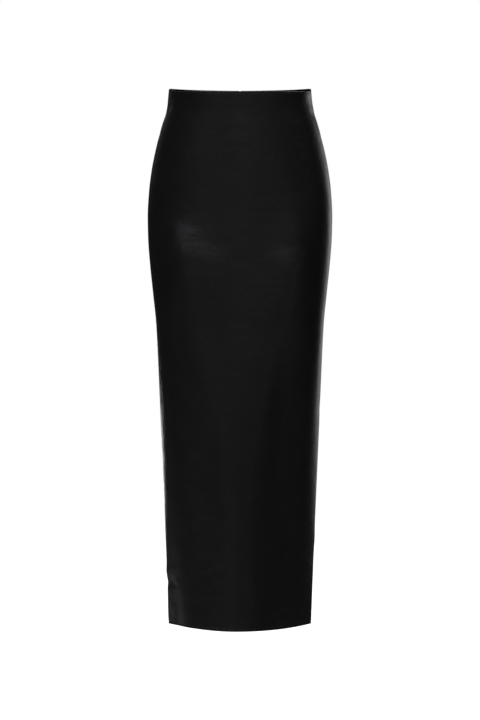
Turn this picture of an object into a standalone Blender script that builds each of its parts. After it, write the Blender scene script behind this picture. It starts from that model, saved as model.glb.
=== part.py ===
"""A long black leather-look pencil skirt, holding the hollow form it has when worn.

Metres, +Z up. The front faces -Y, so +X is the wearer's left. The origin is the
middle of the waist, level with the top edge at the side seams, where a body holds
the skirt up. One front panel and two back panels meet at the side seams and at the
centre back, where a concealed zip closes the top and a walking slit opens the hem.
"""

import math

import bmesh
import bpy
import numpy as np

# ------------------------------------------------------------- driving sizes
LENGTH = 0.9405         # waist edge to hem, along a side seam
WALL = 0.0012           # thickness of the cloth
SEAM_GAP = 0.0003       # between two panels that are sewn together

# Level sections of the outer face, from above the waist edge to the hem. half_width is
# at the side seams; the depths are at the centre front and back. Front and back are
# arcs from seam to seam, and an angle is that of the arc's half sweep in degrees: at 90
# it wraps round to the seam, and below that it meets the seam at a soft edge. Fullness 1
# is a plain arc, and less is squarer.
SECTION_COLUMNS = ("z", "half_width", "front_depth", "front_angle", "front_fullness",
                   "back_depth", "back_angle", "back_fullness")
SECTIONS = (
    (+0.014, 0.1255, 0.0904, 90.0, 1.00, 0.0868, 90.0, 0.90),
    (+0.000, 0.1257, 0.0898, 89.0, 1.00, 0.0870, 90.0, 0.90),
    (-0.018, 0.1264, 0.0892, 87.0, 1.00, 0.0876, 90.0, 0.90),
    (-0.039, 0.1303, 0.0892, 85.0, 1.00, 0.0900, 90.0, 0.90),
    (-0.071, 0.1407, 0.0903, 83.0, 1.00, 0.0960, 90.0, 0.90),
    (-0.106, 0.1494, 0.0918, 82.0, 1.00, 0.1025, 90.0, 0.90),
    (-0.142, 0.1565, 0.0932, 84.0, 0.98, 0.1095, 90.0, 0.90),
    (-0.180, 0.1610, 0.0941, 88.0, 0.95, 0.1175, 90.0, 0.90),
    (-0.221, 0.1630, 0.0952, 90.0, 0.90, 0.1245, 90.0, 0.90),
    (-0.260, 0.1621, 0.0971, 90.0, 0.81, 0.1262, 90.0, 0.90),
    (-0.309, 0.1582, 0.0993, 90.0, 0.70, 0.1215, 90.0, 0.90),
    (-0.362, 0.1526, 0.1028, 90.0, 0.65, 0.1142, 90.0, 0.90),
    (-0.415, 0.1474, 0.1063, 90.0, 0.63, 0.1085, 90.0, 0.90),
    (-0.495, 0.1439, 0.1118, 82.0, 0.67, 0.1050, 88.0, 0.90),
    (-0.601, 0.1397, 0.1143, 65.0, 0.73, 0.1037, 83.0, 0.91),
    (-0.707, 0.1351, 0.1128, 50.0, 0.76, 0.1029, 77.0, 0.91),
    (-0.813, 0.1308, 0.1136, 38.0, 0.84, 0.1016, 71.0, 0.92),
    (-LENGTH, 0.1259, 0.1220, 35.0, 1.00, 0.1000, 68.0, 0.92),
)
QUARTER_TURN = math.pi / 2
SEAM_CALM = 6                       # folds die away to nothing at t ** this = 1
TINY = 1e-6                         # keeps a direction from having no length

# The waist edge dips at the centre front and rises at the centre back.
FRONT_DIP = 0.0121
FRONT_DIP_SHAPE = 0.77
BACK_RISE = 0.0088
BACK_RISE_SHAPE = 0.40
EDGE_FADE = 0.150                   # height over which that slope dies away

# Broad soft folds, along a line from its top to its foot. A ridge has a positive
# height and a hollow a negative one. Folds that run to the hem end below it.
FOLD_COLUMNS = ("side", "x_top", "z_top", "x_foot", "z_foot", "reach", "height")
FOLD_SHAPE = 1.5                    # above 1 a fold's ends run out more gently
FOLDS = (
    ("front", -0.102, -0.215, -0.076, -0.430, 0.058, +0.0070),   # over the right thigh
    ("front", +0.106, -0.168, +0.088, -0.430, 0.032, +0.0066),   # over the left thigh
    ("front", +0.087, -0.360, +0.050, -0.925, 0.025, -0.0062),   # long hollow to the hem
    ("front", -0.010, -0.520, -0.024, -1.080, 0.034, +0.0064),   # flat ridge beside it
    ("front", -0.134, -0.770, -0.110, -1.120, 0.017, -0.0058),   # by the right side seam
    ("back", +0.072, -0.470, +0.076, -1.240, 0.026, -0.0038),    # long hollow to the hem
    ("back", -0.086, -0.400, -0.080, -0.860, 0.030, -0.0028),    # behind the right thigh
    ("back", +0.034, -0.320, +0.060, -0.440, 0.034, -0.0020),    # below the seat
)

# Centre-back seam: lips opened round the slider's neck, and a slit at the hem.
LIPS_HALF_GAP = 0.0011
LIPS_OPEN_BELOW = -0.012
LIPS_CLOSED_BELOW = -0.036
SLIT_TOP = -0.600
SLIT_HALF_GAP = 0.0070              # at the hem
SLIT_GAP_SHAPE = 1.4                # above 1 it opens mostly low down
SLIT_FLARE = 0.0040                 # how far its corners stand out at the hem
SLIT_FLARE_REACH = 0.035

# Zip: two tapes inside the back panels, a slider and its pull tab.
ZIP_TOP = +0.0060
ZIP_FOOT = -0.2150
TAPE_WIDTH = 0.0120
TAPE_THICKNESS = 0.0008
TAPE_OFF_PANEL = 0.0005
TAPE_OFF_LIP = 0.0006
PIN_HEIGHT = -0.0040                # axis that the pull tab swings on
PIN_OFF_PANEL = 0.0024
RING_RADIUS = 0.0020
RING_HOLE_RADIUS = 0.00115
NECK_THICKNESS = 0.0012
NECK_HEIGHT = 0.0026
SLIDER_SIZE = (0.0060, 0.0030, 0.0100)
SLIDER_OFF_TAPE = 0.0003
SLIDER_DROP = 0.0030                # slider's middle below the pin
SLIDER_BEVEL = 0.0007
PULL_THICKNESS = 0.0012
PULL_TOP_RADIUS = 0.0023
PULL_FOOT_RADIUS = 0.0030
PULL_LENGTH = 0.0240
PULL_BAR = 0.0005                   # half height of the bar inside the ring
PULL_SLOT_HALF_WIDTH = 0.0010
PULL_SLOT_FOOT = 0.0032

# Finishes: colour, roughness and share of metal.
CLOTH_FINISH = ((0.014, 0.014, 0.015), 0.45, 0.0)
TAPE_FINISH = ((0.010, 0.010, 0.011), 0.90, 0.0)
ENAMEL_FINISH = ((0.020, 0.020, 0.021), 0.35, 0.6)

# Mesh divisions.
TOP_ROWS = (0.0, -0.007, -0.014, -0.022, -0.031, -0.042, -0.056)
BODY_ROWS = 35
FRONT_COLUMNS = 30
BACK_COLUMNS = 15
TAPE_ROWS = 15
TAPE_COLUMNS = 2
ROUND_SIDES = 20


# ---------------------------------------------------------------- cloth shape
def table_column(name, z):
    """A column of SECTIONS at the heights z, on a curve that never overshoots a row."""
    rows = np.array(SECTIONS)[::-1]
    heights = rows[:, 0]
    values = rows[:, SECTION_COLUMNS.index(name)]
    step = np.diff(heights)
    slope = np.diff(values) / step
    before, after = slope[:-1], slope[1:]
    same_way = before * after > 0
    mean = np.where(same_way, 2 * before * after / np.where(same_way, before + after, 1), 0)
    tangent = np.concatenate((slope[:1], mean, slope[-1:]))
    z = np.clip(z, heights[0], heights[-1])
    i = np.clip(np.searchsorted(heights, z) - 1, 0, len(step) - 1)
    s = (z - heights[i]) / step[i]
    return (values[i] * (1 + 2 * s) * (1 - s) ** 2 + values[i + 1] * s ** 2 * (3 - 2 * s)
            + step[i] * (tangent[i] * s * (1 - s) ** 2 - tangent[i + 1] * s ** 2 * (1 - s)))


def smooth_step(value, start, end):
    """0 at start, 1 at end, and level at both."""
    s = np.clip((value - start) / (end - start), 0, 1)
    return s * s * (3 - 2 * s)


def arc_rise(t, angle):
    """Height of an arc over its chord: 1 in the middle, 0 at its ends t = -1 and 1."""
    return np.maximum((np.cos(angle * t) - np.cos(angle)) / (1 - np.cos(angle)), 0)


def fold_height(side, x, z):
    """Sum of the folds on one side: a bell across each, and a half wave along it."""
    total = np.zeros_like(x)
    for row in FOLDS:
        fold = dict(zip(FOLD_COLUMNS, row))
        if fold["side"] == side:
            along = np.clip((fold["z_top"] - z) / (fold["z_top"] - fold["z_foot"]), 0, 1)
            middle = fold["x_top"] + (fold["x_foot"] - fold["x_top"]) * along
            across = np.exp(-((x - middle) / fold["reach"]) ** 2)
            total += fold["height"] * across * np.sin(math.pi * along) ** FOLD_SHAPE
    return total


def slit_depth(z):
    """0 at the top of the slit and 1 at the hem."""
    return np.clip((SLIT_TOP - z) / (SLIT_TOP + LENGTH), 0, 1)


def centre_half_gap(z):
    """Half the distance between the two back panels."""
    lips = 1 - smooth_step(-z, -LIPS_OPEN_BELOW, -LIPS_CLOSED_BELOW)
    closed = SEAM_GAP / 2
    return closed + (LIPS_HALF_GAP - closed) * lips + SLIT_HALF_GAP * slit_depth(z) ** SLIT_GAP_SHAPE


def cloth_point(side, t, z, inset, half=1):
    """Point of a panel at t across it and height z, moved inwards by inset.

    In front t runs from -1 to 1. Behind it runs from 0 at the centre to 1 at the side
    seam, on the left for half = 1 and on the right for half = -1.
    """
    angle = np.radians(table_column(side + "_angle", z))
    corner = QUARTER_TURN - angle
    half_width = table_column("half_width", z) - inset / np.cos(corner / 2)
    depth = table_column(side + "_depth", z) - inset
    fullness = table_column(side + "_fullness", z)
    x = half * half_width * np.sin(angle * t) / np.sin(angle)
    y = depth * arc_rise(t, angle) ** fullness
    lift = fold_height(side, x, z) * (1 - t ** SEAM_CALM)
    if side == "back":
        lift = lift + SLIT_FLARE * slit_depth(z) ** 2 * np.exp(-(x / SLIT_FLARE_REACH) ** 2)
    out_x, out_y = x / half_width ** 2, y / depth ** 2 + TINY
    size = np.hypot(out_x, out_y)
    x = x + lift * out_x / size
    y = y + lift * out_y / size + SEAM_GAP / 2
    if side == "front":
        return np.stack((x, -y, z), axis=-1)
    gap = centre_half_gap(z)
    x = x * (1 - gap / half_width) + half * gap
    return np.stack((x, y, z), axis=-1)


def edge_slope(side, t, z):
    """How far the rows near the waist move down in front and up behind."""
    rise = arc_rise(t, QUARTER_TURN)
    fade = smooth_step(z, -EDGE_FADE, 0)
    if side == "front":
        return -FRONT_DIP * rise ** FRONT_DIP_SHAPE * fade
    return BACK_RISE * rise ** BACK_RISE_SHAPE * fade


def panel_rows():
    """Heights of the rows: close together at the waist, even below."""
    below = np.linspace(TOP_ROWS[-1], -LENGTH, BODY_ROWS)
    return np.concatenate((TOP_ROWS, below[1:]))


# --------------------------------------------------------------------- meshes
def finish_object(name, mesh, material):
    mesh.materials.append(material)
    mesh.shade_smooth()
    mesh.set_sharp_from_angle(angle=math.radians(40))
    piece = bpy.data.objects.new(name, mesh)
    bpy.context.scene.collection.objects.link(piece)
    return piece


def wall_object(name, outer, inner, material):
    """A closed wall between two grids of points, with its four edges filled."""
    rows, columns = outer.shape[:2]
    count = rows * columns
    index = np.arange(count).reshape(rows, columns)
    corners = (index[:-1, :-1], index[1:, :-1], index[1:, 1:], index[:-1, 1:])
    skin = np.stack([corner.ravel() for corner in corners], axis=1)
    border = np.concatenate((index[0, :-1], index[:-1, -1], index[-1, :0:-1], index[:0:-1, 0]))
    after = np.roll(border, -1)
    edge = np.stack((border, after, after + count, border + count), axis=1)
    faces = np.concatenate((skin, skin[:, ::-1] + count, edge))
    points = np.concatenate((outer.reshape(-1, 3), inner.reshape(-1, 3)))
    mesh = bpy.data.meshes.new(name)
    mesh.from_pydata(points.tolist(), [], faces.tolist())
    shell = bmesh.new()
    shell.from_mesh(mesh)
    bmesh.ops.recalc_face_normals(shell, faces=shell.faces)
    shell.to_mesh(mesh)
    shell.free()
    return finish_object(name, mesh, material)


def panel(name, side, t_values, material, half=1):
    """A panel of cloth between two seams."""
    t, z = np.meshgrid(t_values, panel_rows())
    z = z + edge_slope(side, t, z)
    outer = cloth_point(side, t, z, 0.0, half)
    inner = cloth_point(side, t, z, WALL, half)
    return wall_object(name, outer, inner, material)


def centre_back_y(z, inset):
    """Distance of the back seam from the origin's plane at the height z."""
    return float(cloth_point("back", np.array(0.0), np.array(z), inset)[1])


def zip_tape(name, half, material):
    """A strip along the inside of a back panel, beside the seam."""
    z_values = np.linspace(ZIP_TOP, ZIP_FOOT, TAPE_ROWS)
    half_width = float(table_column("half_width", np.array(ZIP_FOOT)))
    t_span = np.array((TAPE_OFF_LIP, TAPE_OFF_LIP + TAPE_WIDTH)) / half_width
    t_values = np.arcsin(np.linspace(*t_span, TAPE_COLUMNS + 1)) / QUARTER_TURN
    t, z = np.meshgrid(t_values, z_values)
    near = WALL + TAPE_OFF_PANEL
    outer = cloth_point("back", t, z, near, half)
    inner = cloth_point("back", t, z, near + TAPE_THICKNESS, half)
    return wall_object(name, outer, inner, material)


def primitive(name, build, material=None, cutter=False):
    """An object from a function that fills a bmesh. A cutter only shapes other pieces."""
    shape = bmesh.new()
    build(shape)
    mesh = bpy.data.meshes.new(name)
    shape.to_mesh(mesh)
    shape.free()
    if material is None:
        piece = bpy.data.objects.new(name, mesh)
        bpy.context.scene.collection.objects.link(piece)
    else:
        piece = finish_object(name, mesh, material)
    if cutter:
        piece.hide_render = True
        piece.display_type = "WIRE"
    return piece


def block(size, centre):
    """A box of the given size, for primitive()."""
    def build(shape):
        bmesh.ops.create_cube(shape, size=1.0)
        bmesh.ops.scale(shape, vec=size, verts=shape.verts)
        bmesh.ops.translate(shape, vec=centre, verts=shape.verts)
    return build


def cross_rod(radius, length, centre):
    """A round rod along X, for primitive()."""
    def build(shape):
        bmesh.ops.create_cone(shape, cap_ends=True, segments=ROUND_SIDES, radius1=radius,
                              radius2=radius, depth=length)
        turn = np.array(((0, 0, 1), (0, 1, 0), (-1, 0, 0)))
        for vertex in shape.verts:
            vertex.co = tuple(turn @ np.array(vertex.co) + np.array(centre))
    return build


def rounded_plate(outline, thickness, centre):
    """A flat plate in the XZ plane from an outline of (x, z) points, for primitive()."""
    def build(shape):
        x, y, z = centre
        near = [shape.verts.new((x + px, y - thickness / 2, z + pz)) for px, pz in outline]
        face = shape.faces.new(near)
        moved = bmesh.ops.extrude_face_region(shape, geom=[face])["geom"]
        far = [item for item in moved if isinstance(item, bmesh.types.BMVert)]
        bmesh.ops.translate(shape, vec=(0, thickness, 0), verts=far)
        bmesh.ops.recalc_face_normals(shape, faces=shape.faces)
    return build


def drop_outline(top_radius, foot_radius, top, foot):
    """Two half circles joined by straight sides, from the height top down to foot."""
    half = np.linspace(0, math.pi, ROUND_SIDES // 2 + 1)
    upper = np.stack((top_radius * np.cos(half), top - top_radius + top_radius * np.sin(half)))
    lower = np.stack((-foot_radius * np.cos(half), foot + foot_radius - foot_radius * np.sin(half)))
    return np.concatenate((upper, lower), axis=1).T.tolist()


def combine(piece, other, operation):
    step = piece.modifiers.new(other.name, "BOOLEAN")
    step.object = other
    step.operation = operation
    step.solver = "EXACT"


def bevel(piece, width):
    step = piece.modifiers.new("rounded edges", "BEVEL")
    step.width = width
    step.segments = 2
    step.limit_method = "ANGLE"
    step.angle_limit = math.radians(50)


def pin_centre():
    return (0.0, centre_back_y(PIN_HEIGHT, 0.0) + PIN_OFF_PANEL, PIN_HEIGHT)


def zip_slider(material):
    """A body behind the seam, a neck through its lips and a ring outside them."""
    pin = pin_centre()
    face = centre_back_y(ZIP_TOP, WALL + TAPE_OFF_PANEL + TAPE_THICKNESS + SLIDER_OFF_TAPE)
    middle_y = face - SLIDER_SIZE[1] / 2
    body = (0.0, middle_y, PIN_HEIGHT - SLIDER_DROP)
    neck_size = (NECK_THICKNESS, pin[1] - middle_y, NECK_HEIGHT)
    neck_centre = (0.0, (pin[1] + middle_y) / 2, PIN_HEIGHT)
    slider = primitive("zip_slider", block(SLIDER_SIZE, body), material)
    neck = primitive("slider_neck", block(neck_size, neck_centre), cutter=True)
    ring = primitive("slider_ring", cross_rod(RING_RADIUS, NECK_THICKNESS, pin), cutter=True)
    hole = primitive("slider_hole", cross_rod(RING_HOLE_RADIUS, 4 * NECK_THICKNESS, pin), cutter=True)
    bevel(slider, SLIDER_BEVEL)
    combine(slider, neck, "UNION")
    combine(slider, ring, "UNION")
    combine(slider, hole, "DIFFERENCE")


def zip_pull(material):
    """A drop-shaped tab. The bar over its slot lies in the slider's ring."""
    pin = pin_centre()
    outline = drop_outline(PULL_TOP_RADIUS, PULL_FOOT_RADIUS, PULL_BAR, PULL_BAR - PULL_LENGTH)
    slot_outline = drop_outline(PULL_SLOT_HALF_WIDTH, PULL_SLOT_HALF_WIDTH, -PULL_BAR, -PULL_SLOT_FOOT)
    pull = primitive("zip_pull", rounded_plate(outline, PULL_THICKNESS, pin), material)
    slot = primitive("pull_slot", rounded_plate(slot_outline, 3 * PULL_THICKNESS, pin), cutter=True)
    combine(pull, slot, "DIFFERENCE")


def finish_material(name, finish):
    colour, roughness, metallic = finish
    material = bpy.data.materials.new(name)
    material.use_nodes = True
    surface = material.node_tree.nodes["Principled BSDF"]
    surface.inputs["Base Color"].default_value = (*colour, 1.0)
    surface.inputs["Roughness"].default_value = roughness
    surface.inputs["Metallic"].default_value = metallic
    return material


def clear_scene():
    for item in list(bpy.data.objects):
        bpy.data.objects.remove(item, do_unlink=True)


def main():
    clear_scene()
    front_t = np.linspace(-1, 1, FRONT_COLUMNS + 1)
    back_t = np.linspace(0, 1, BACK_COLUMNS + 1)
    panel("front_panel", "front", front_t, finish_material("front_cloth", CLOTH_FINISH))
    panel("back_panel_left", "back", back_t, finish_material("left_cloth", CLOTH_FINISH))
    panel("back_panel_right", "back", back_t, finish_material("right_cloth", CLOTH_FINISH), -1)
    zip_tape("zip_tape_left", 1, finish_material("left_tape", TAPE_FINISH))
    zip_tape("zip_tape_right", -1, finish_material("right_tape", TAPE_FINISH))
    zip_slider(finish_material("slider_enamel", ENAMEL_FINISH))
    zip_pull(finish_material("pull_enamel", ENAMEL_FINISH))


main()
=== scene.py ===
# A long black leather-look pencil skirt in its worn, hollow form, dressed on its frame.
# Metres, +Z up. The front faces -Y and the wearer's left is +X.

import math

import bpy
import numpy as np
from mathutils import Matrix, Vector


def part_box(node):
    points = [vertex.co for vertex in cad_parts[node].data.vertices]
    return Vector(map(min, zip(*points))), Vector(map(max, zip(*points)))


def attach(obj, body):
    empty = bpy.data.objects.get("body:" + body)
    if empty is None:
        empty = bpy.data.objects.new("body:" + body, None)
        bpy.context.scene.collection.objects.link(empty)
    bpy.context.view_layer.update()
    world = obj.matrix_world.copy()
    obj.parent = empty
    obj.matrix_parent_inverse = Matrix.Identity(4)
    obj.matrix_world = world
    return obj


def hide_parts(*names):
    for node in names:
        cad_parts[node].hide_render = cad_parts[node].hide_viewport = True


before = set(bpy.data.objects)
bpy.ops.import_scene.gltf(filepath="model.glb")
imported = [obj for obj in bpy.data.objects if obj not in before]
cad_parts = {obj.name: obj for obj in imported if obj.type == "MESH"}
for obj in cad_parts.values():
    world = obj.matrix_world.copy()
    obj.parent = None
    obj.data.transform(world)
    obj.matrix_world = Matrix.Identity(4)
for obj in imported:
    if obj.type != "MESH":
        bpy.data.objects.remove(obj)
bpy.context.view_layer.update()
print("frame loaded:", ", ".join(sorted(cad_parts)))


# Camera: level with the middle of the skirt, four metres in front of it.
cameraView = {"distance": 4.0, "height": -0.4762, "lens": 113.26, "sensor": 36.0}

cameraData = bpy.data.cameras.new("studioCamera")
cameraData.lens = cameraView["lens"]
cameraData.sensor_width = cameraView["sensor"]
camera = bpy.data.objects.new("studioCamera", cameraData)
camera.location = (0.0, -cameraView["distance"], cameraView["height"])
camera.rotation_euler = (math.radians(90.0), 0.0, 0.0)
bpy.context.scene.collection.objects.link(camera)
bpy.context.scene.camera = camera


# Outer form: level sections from the waist edge to the hem, with the front dipped and the
# back raised at the waist, lips round the slider and a slit at the hem.
form = {
    "length": 0.9416,
    "seamGap": 0.00001,
    "seamCalm": 6,  # lifts die away to nothing at t ** this = 1
    "puckerAcross": 0.07,  # share of the panel over which a seam's shift dies away
    "frontDip": 0.0121,
    "frontDipShape": 0.77,
    "backRise": 0.0094,
    "backRiseShape": 0.37,
    "edgeFade": 0.150,
    "foldShape": 1.5,  # above 1 a fold's ends run out more gently
    "slitTop": -0.600,
    "slitHalfGap": 0.0070,
    "slitGapShape": 1.4,  # above 1 the slit opens mostly low down
    "slitFlare": 0.0040,
    "slitFlareReach": 0.035,
    "lipsHalfGap": 0.0011,
    "lipsOpenBelow": -0.012,
    "lipsClosedBelow": -0.036,
}

tiny = 1e-6  # keeps a direction from having no length

# An angle is that of the arc's half sweep. Fullness 1 is a plain arc, and less is squarer.
sectionColumns = ("z", "halfWidth", "frontDepth", "frontAngle", "frontFullness",
                  "backDepth", "backAngle", "backFullness")
sections = (
    (+0.014, 0.1255, 0.0904, 90.0, 1.00, 0.0868, 90.0, 0.90),
    (+0.000, 0.1257, 0.0898, 89.0, 1.00, 0.0870, 90.0, 0.90),
    (-0.018, 0.1264, 0.0892, 87.0, 1.00, 0.0876, 90.0, 0.90),
    (-0.039, 0.1303, 0.0892, 85.0, 1.00, 0.0900, 90.0, 0.90),
    (-0.071, 0.1407, 0.0903, 83.0, 1.00, 0.0960, 90.0, 0.90),
    (-0.106, 0.1494, 0.0918, 82.0, 1.00, 0.1025, 90.0, 0.90),
    (-0.142, 0.1565, 0.0932, 84.0, 0.98, 0.1095, 90.0, 0.90),
    (-0.180, 0.1610, 0.0941, 88.0, 0.95, 0.1175, 90.0, 0.90),
    (-0.221, 0.1630, 0.0952, 90.0, 0.90, 0.1245, 90.0, 0.90),
    (-0.260, 0.1621, 0.0971, 90.0, 0.81, 0.1262, 90.0, 0.90),
    (-0.309, 0.1582, 0.0993, 90.0, 0.70, 0.1215, 90.0, 0.90),
    (-0.362, 0.1526, 0.1028, 90.0, 0.65, 0.1142, 90.0, 0.90),
    (-0.415, 0.1474, 0.1063, 90.0, 0.63, 0.1085, 90.0, 0.90),
    (-0.495, 0.1439, 0.1118, 82.0, 0.67, 0.1050, 88.0, 0.90),
    (-0.601, 0.1397, 0.1143, 65.0, 0.73, 0.1037, 83.0, 0.91),
    (-0.707, 0.1351, 0.1128, 50.0, 0.76, 0.1029, 77.0, 0.91),
    (-0.813, 0.1308, 0.1136, 38.0, 0.84, 0.1016, 71.0, 0.92),
    (-form["length"], 0.1259, 0.1220, 35.0, 1.00, 0.1000, 68.0, 0.92),
)

# Broad soft folds: a bell across, a half wave along, from the top to the foot.
foldColumns = ("side", "xTop", "zTop", "xFoot", "zFoot", "reach", "height")
folds = (
    ("front", -0.102, -0.215, -0.076, -0.430, 0.058, +0.0070),  # over the right thigh
    ("front", +0.106, -0.168, +0.088, -0.430, 0.032, +0.0066),  # over the left thigh
    ("front", +0.087, -0.360, +0.050, -0.925, 0.025, -0.0062),  # long hollow to the hem
    ("front", -0.010, -0.520, -0.024, -1.080, 0.034, +0.0064),  # flat ridge beside it
    ("front", -0.134, -0.770, -0.110, -1.120, 0.017, -0.0058),  # by the right side seam
    ("back", +0.072, -0.470, +0.076, -1.240, 0.026, -0.0038),  # long hollow to the hem
    ("back", -0.086, -0.400, -0.080, -0.860, 0.030, -0.0028),  # behind the right thigh
    ("back", +0.034, -0.320, +0.060, -0.440, 0.034, -0.0020),  # below the seat
)

# Creases, from start to end along a slightly bowed line. A bell is the same on both
# sides of its line. A ledge rises below its line over its reach and then dies away.
creaseSettle = 3.0  # reaches over which a ledge dies away
creaseColumns = ("side", "shape", "xStart", "zStart", "xEnd", "zEnd", "bow", "reach", "height",
                 "fadeIn", "fadeOut")
creases = (
    ("front", "ledge", -0.122, -0.2270, -0.028, -0.2550, +0.002, 0.030, +0.00235, 0.22, 0.65),
    ("front", "ledge", -0.118, -0.2500, +0.018, -0.2800, +0.003, 0.040, +0.00305, 0.26, 0.60),
    ("front", "ledge", +0.028, -0.2700, +0.132, -0.2700, +0.003, 0.042, +0.00350, 0.55, 0.26),
    ("front", "bell", -0.131, -0.1790, -0.106, -0.1765, +0.001, 0.003, -0.00030, 0.30, 0.40),
    ("front", "bell", -0.122, -0.1700, -0.108, -0.1690, +0.001, 0.004, +0.00025, 0.30, 0.40),
    ("front", "bell", -0.092, -0.1960, -0.082, -0.2140, +0.002, 0.004, -0.00022, 0.30, 0.40),
    ("front", "bell", +0.016, -0.1650, +0.046, -0.1590, +0.002, 0.004, -0.00018, 0.40, 0.50),
    ("front", "bell", +0.020, -0.1900, +0.058, -0.2000, -0.002, 0.005, -0.00016, 0.40, 0.50),
    ("front", "bell", +0.074, -0.1880, +0.098, -0.1870, +0.001, 0.004, -0.00018, 0.40, 0.50),
    ("front", "bell", -0.044, -0.4350, -0.028, -0.4520, +0.001, 0.004, -0.00022, 0.40, 0.50),
    ("front", "bell", +0.002, -0.4350, +0.012, -0.4800, +0.002, 0.006, +0.00022, 0.40, 0.50),
    ("front", "bell", -0.124, -0.8560, -0.110, -0.8780, +0.002, 0.0045, -0.00220, 0.10, 0.60),
    ("front", "bell", -0.118, -0.8860, -0.119, -0.9560, +0.000, 0.006, +0.00300, 0.50, 0.10),
    ("front", "ledge", +0.050, -0.5600, +0.046, -0.9200, +0.015, 0.017, +0.00090, 0.30, 0.35),
    ("front", "bell", -0.121, -0.0240, -0.124, -0.0420, +0.001, 0.003, -0.00180, 0.40, 0.40),
    ("back", "bell", +0.148, -0.1960, +0.098, -0.2080, -0.003, 0.006, -0.00100, 0.20, 0.60),
    ("back", "bell", +0.146, -0.2150, +0.112, -0.2200, -0.002, 0.005, -0.00055, 0.20, 0.60),
    ("back", "bell", -0.150, -0.2260, -0.106, -0.2350, +0.003, 0.006, -0.00085, 0.20, 0.60),
    ("back", "bell", +0.006, -0.2150, +0.046, -0.2290, -0.002, 0.005, -0.00085, 0.10, 0.60),
    ("back", "bell", -0.006, -0.2200, -0.034, -0.2390, +0.002, 0.005, -0.00070, 0.10, 0.60),
    ("back", "bell", -0.008, -0.0750, -0.040, -0.0690, +0.001, 0.005, -0.00040, 0.10, 0.60),
    ("back", "bell", +0.112, -0.3290, +0.018, -0.3430, +0.005, 0.010, -0.00210, 0.35, 0.50),
    ("back", "bell", +0.128, -0.3540, +0.056, -0.3640, +0.004, 0.007, -0.00140, 0.35, 0.50),
    ("back", "bell", +0.092, -0.3760, +0.040, -0.3820, +0.002, 0.006, -0.00070, 0.40, 0.50),
    ("back", "bell", -0.122, -0.3380, -0.026, -0.3490, -0.005, 0.010, -0.00195, 0.30, 0.50),
    ("back", "bell", -0.106, -0.3670, -0.048, -0.3720, -0.003, 0.007, -0.00110, 0.40, 0.50),
    ("back", "bell", +0.112, -0.5480, +0.062, -0.5760, +0.004, 0.012, -0.00180, 0.30, 0.50),
    ("back", "bell", +0.104, -0.5850, +0.070, -0.6000, +0.003, 0.008, -0.00100, 0.30, 0.50),
    ("back", "bell", -0.112, -0.5780, -0.058, -0.5980, -0.004, 0.011, -0.00155, 0.30, 0.50),
    ("back", "bell", +0.006, -0.5960, +0.040, -0.5720, +0.002, 0.006, -0.00100, 0.10, 0.60),
    ("back", "bell", -0.006, -0.5980, -0.048, -0.5830, -0.002, 0.006, -0.00085, 0.10, 0.60),
    ("back", "bell", -0.104, -0.8250, -0.072, -0.8460, -0.003, 0.009, -0.00110, 0.30, 0.50),
)

# Small shifts of a side seam, out or in, where its stitching draws the cloth.
puckerColumns = ("half", "z", "reach", "height")
puckers = (
    (-1, -0.0180, 0.0160, +0.0012),
    (-1, -0.0540, 0.0070, +0.0004),
    (-1, -0.0780, 0.0090, -0.0005),
    (-1, -0.8480, 0.0100, +0.0010),
    (-1, -0.8680, 0.0080, -0.0012),
    (-1, -0.9250, 0.0260, +0.0008),
    (+1, -0.0240, 0.0200, +0.0013),
    (+1, -0.0520, 0.0090, +0.0005),
    (+1, -0.0860, 0.0110, -0.0004),
    (+1, -0.5600, 0.0140, -0.0005),
    (+1, -0.7900, 0.0160, +0.0006),
)


# A smooth column of the sections table at heights z, never past its rows' values.
def sectionColumn(name, z):
    rows = np.array(sections)[::-1]
    heights, values = rows[:, 0], rows[:, sectionColumns.index(name)]
    step = np.diff(heights)
    slope = np.diff(values) / step
    before, after = slope[:-1], slope[1:]
    sameWay = before * after > 0
    mean = np.where(sameWay, 2 * before * after / np.where(sameWay, before + after, 1), 0)
    tangent = np.concatenate((slope[:1], mean, slope[-1:]))
    z = np.clip(z, heights[0], heights[-1])
    i = np.clip(np.searchsorted(heights, z) - 1, 0, len(step) - 1)
    s = (z - heights[i]) / step[i]
    return (values[i] * (1 + 2 * s) * (1 - s) ** 2 + values[i + 1] * s ** 2 * (3 - 2 * s)
            + step[i] * (tangent[i] * s * (1 - s) ** 2 - tangent[i + 1] * s ** 2 * (1 - s)))


# 0 at start, 1 at end, level at both.
def smoothStep(value, start, end):
    s = np.clip((value - start) / (end - start), 0, 1)
    return s * s * (3 - 2 * s)


# Height of an arc over its chord: 1 in the middle, 0 at its ends t = -1 and 1.
def arcRise(t, angle):
    return np.maximum((np.cos(angle * t) - np.cos(angle)) / (1 - np.cos(angle)), 0)


# Sum of the broad folds of one side, in metres outwards.
def foldLift(side, x, z):
    total = np.zeros_like(x)
    for row in folds:
        f = dict(zip(foldColumns, row))
        if f["side"] == side:
            along = np.clip((f["zTop"] - z) / (f["zTop"] - f["zFoot"]), 0, 1)
            middle = f["xTop"] + (f["xFoot"] - f["xTop"]) * along
            across = np.exp(-((x - middle) / f["reach"]) ** 2)
            total += f["height"] * across * np.sin(np.pi * along) ** form["foldShape"]
    return total


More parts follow.
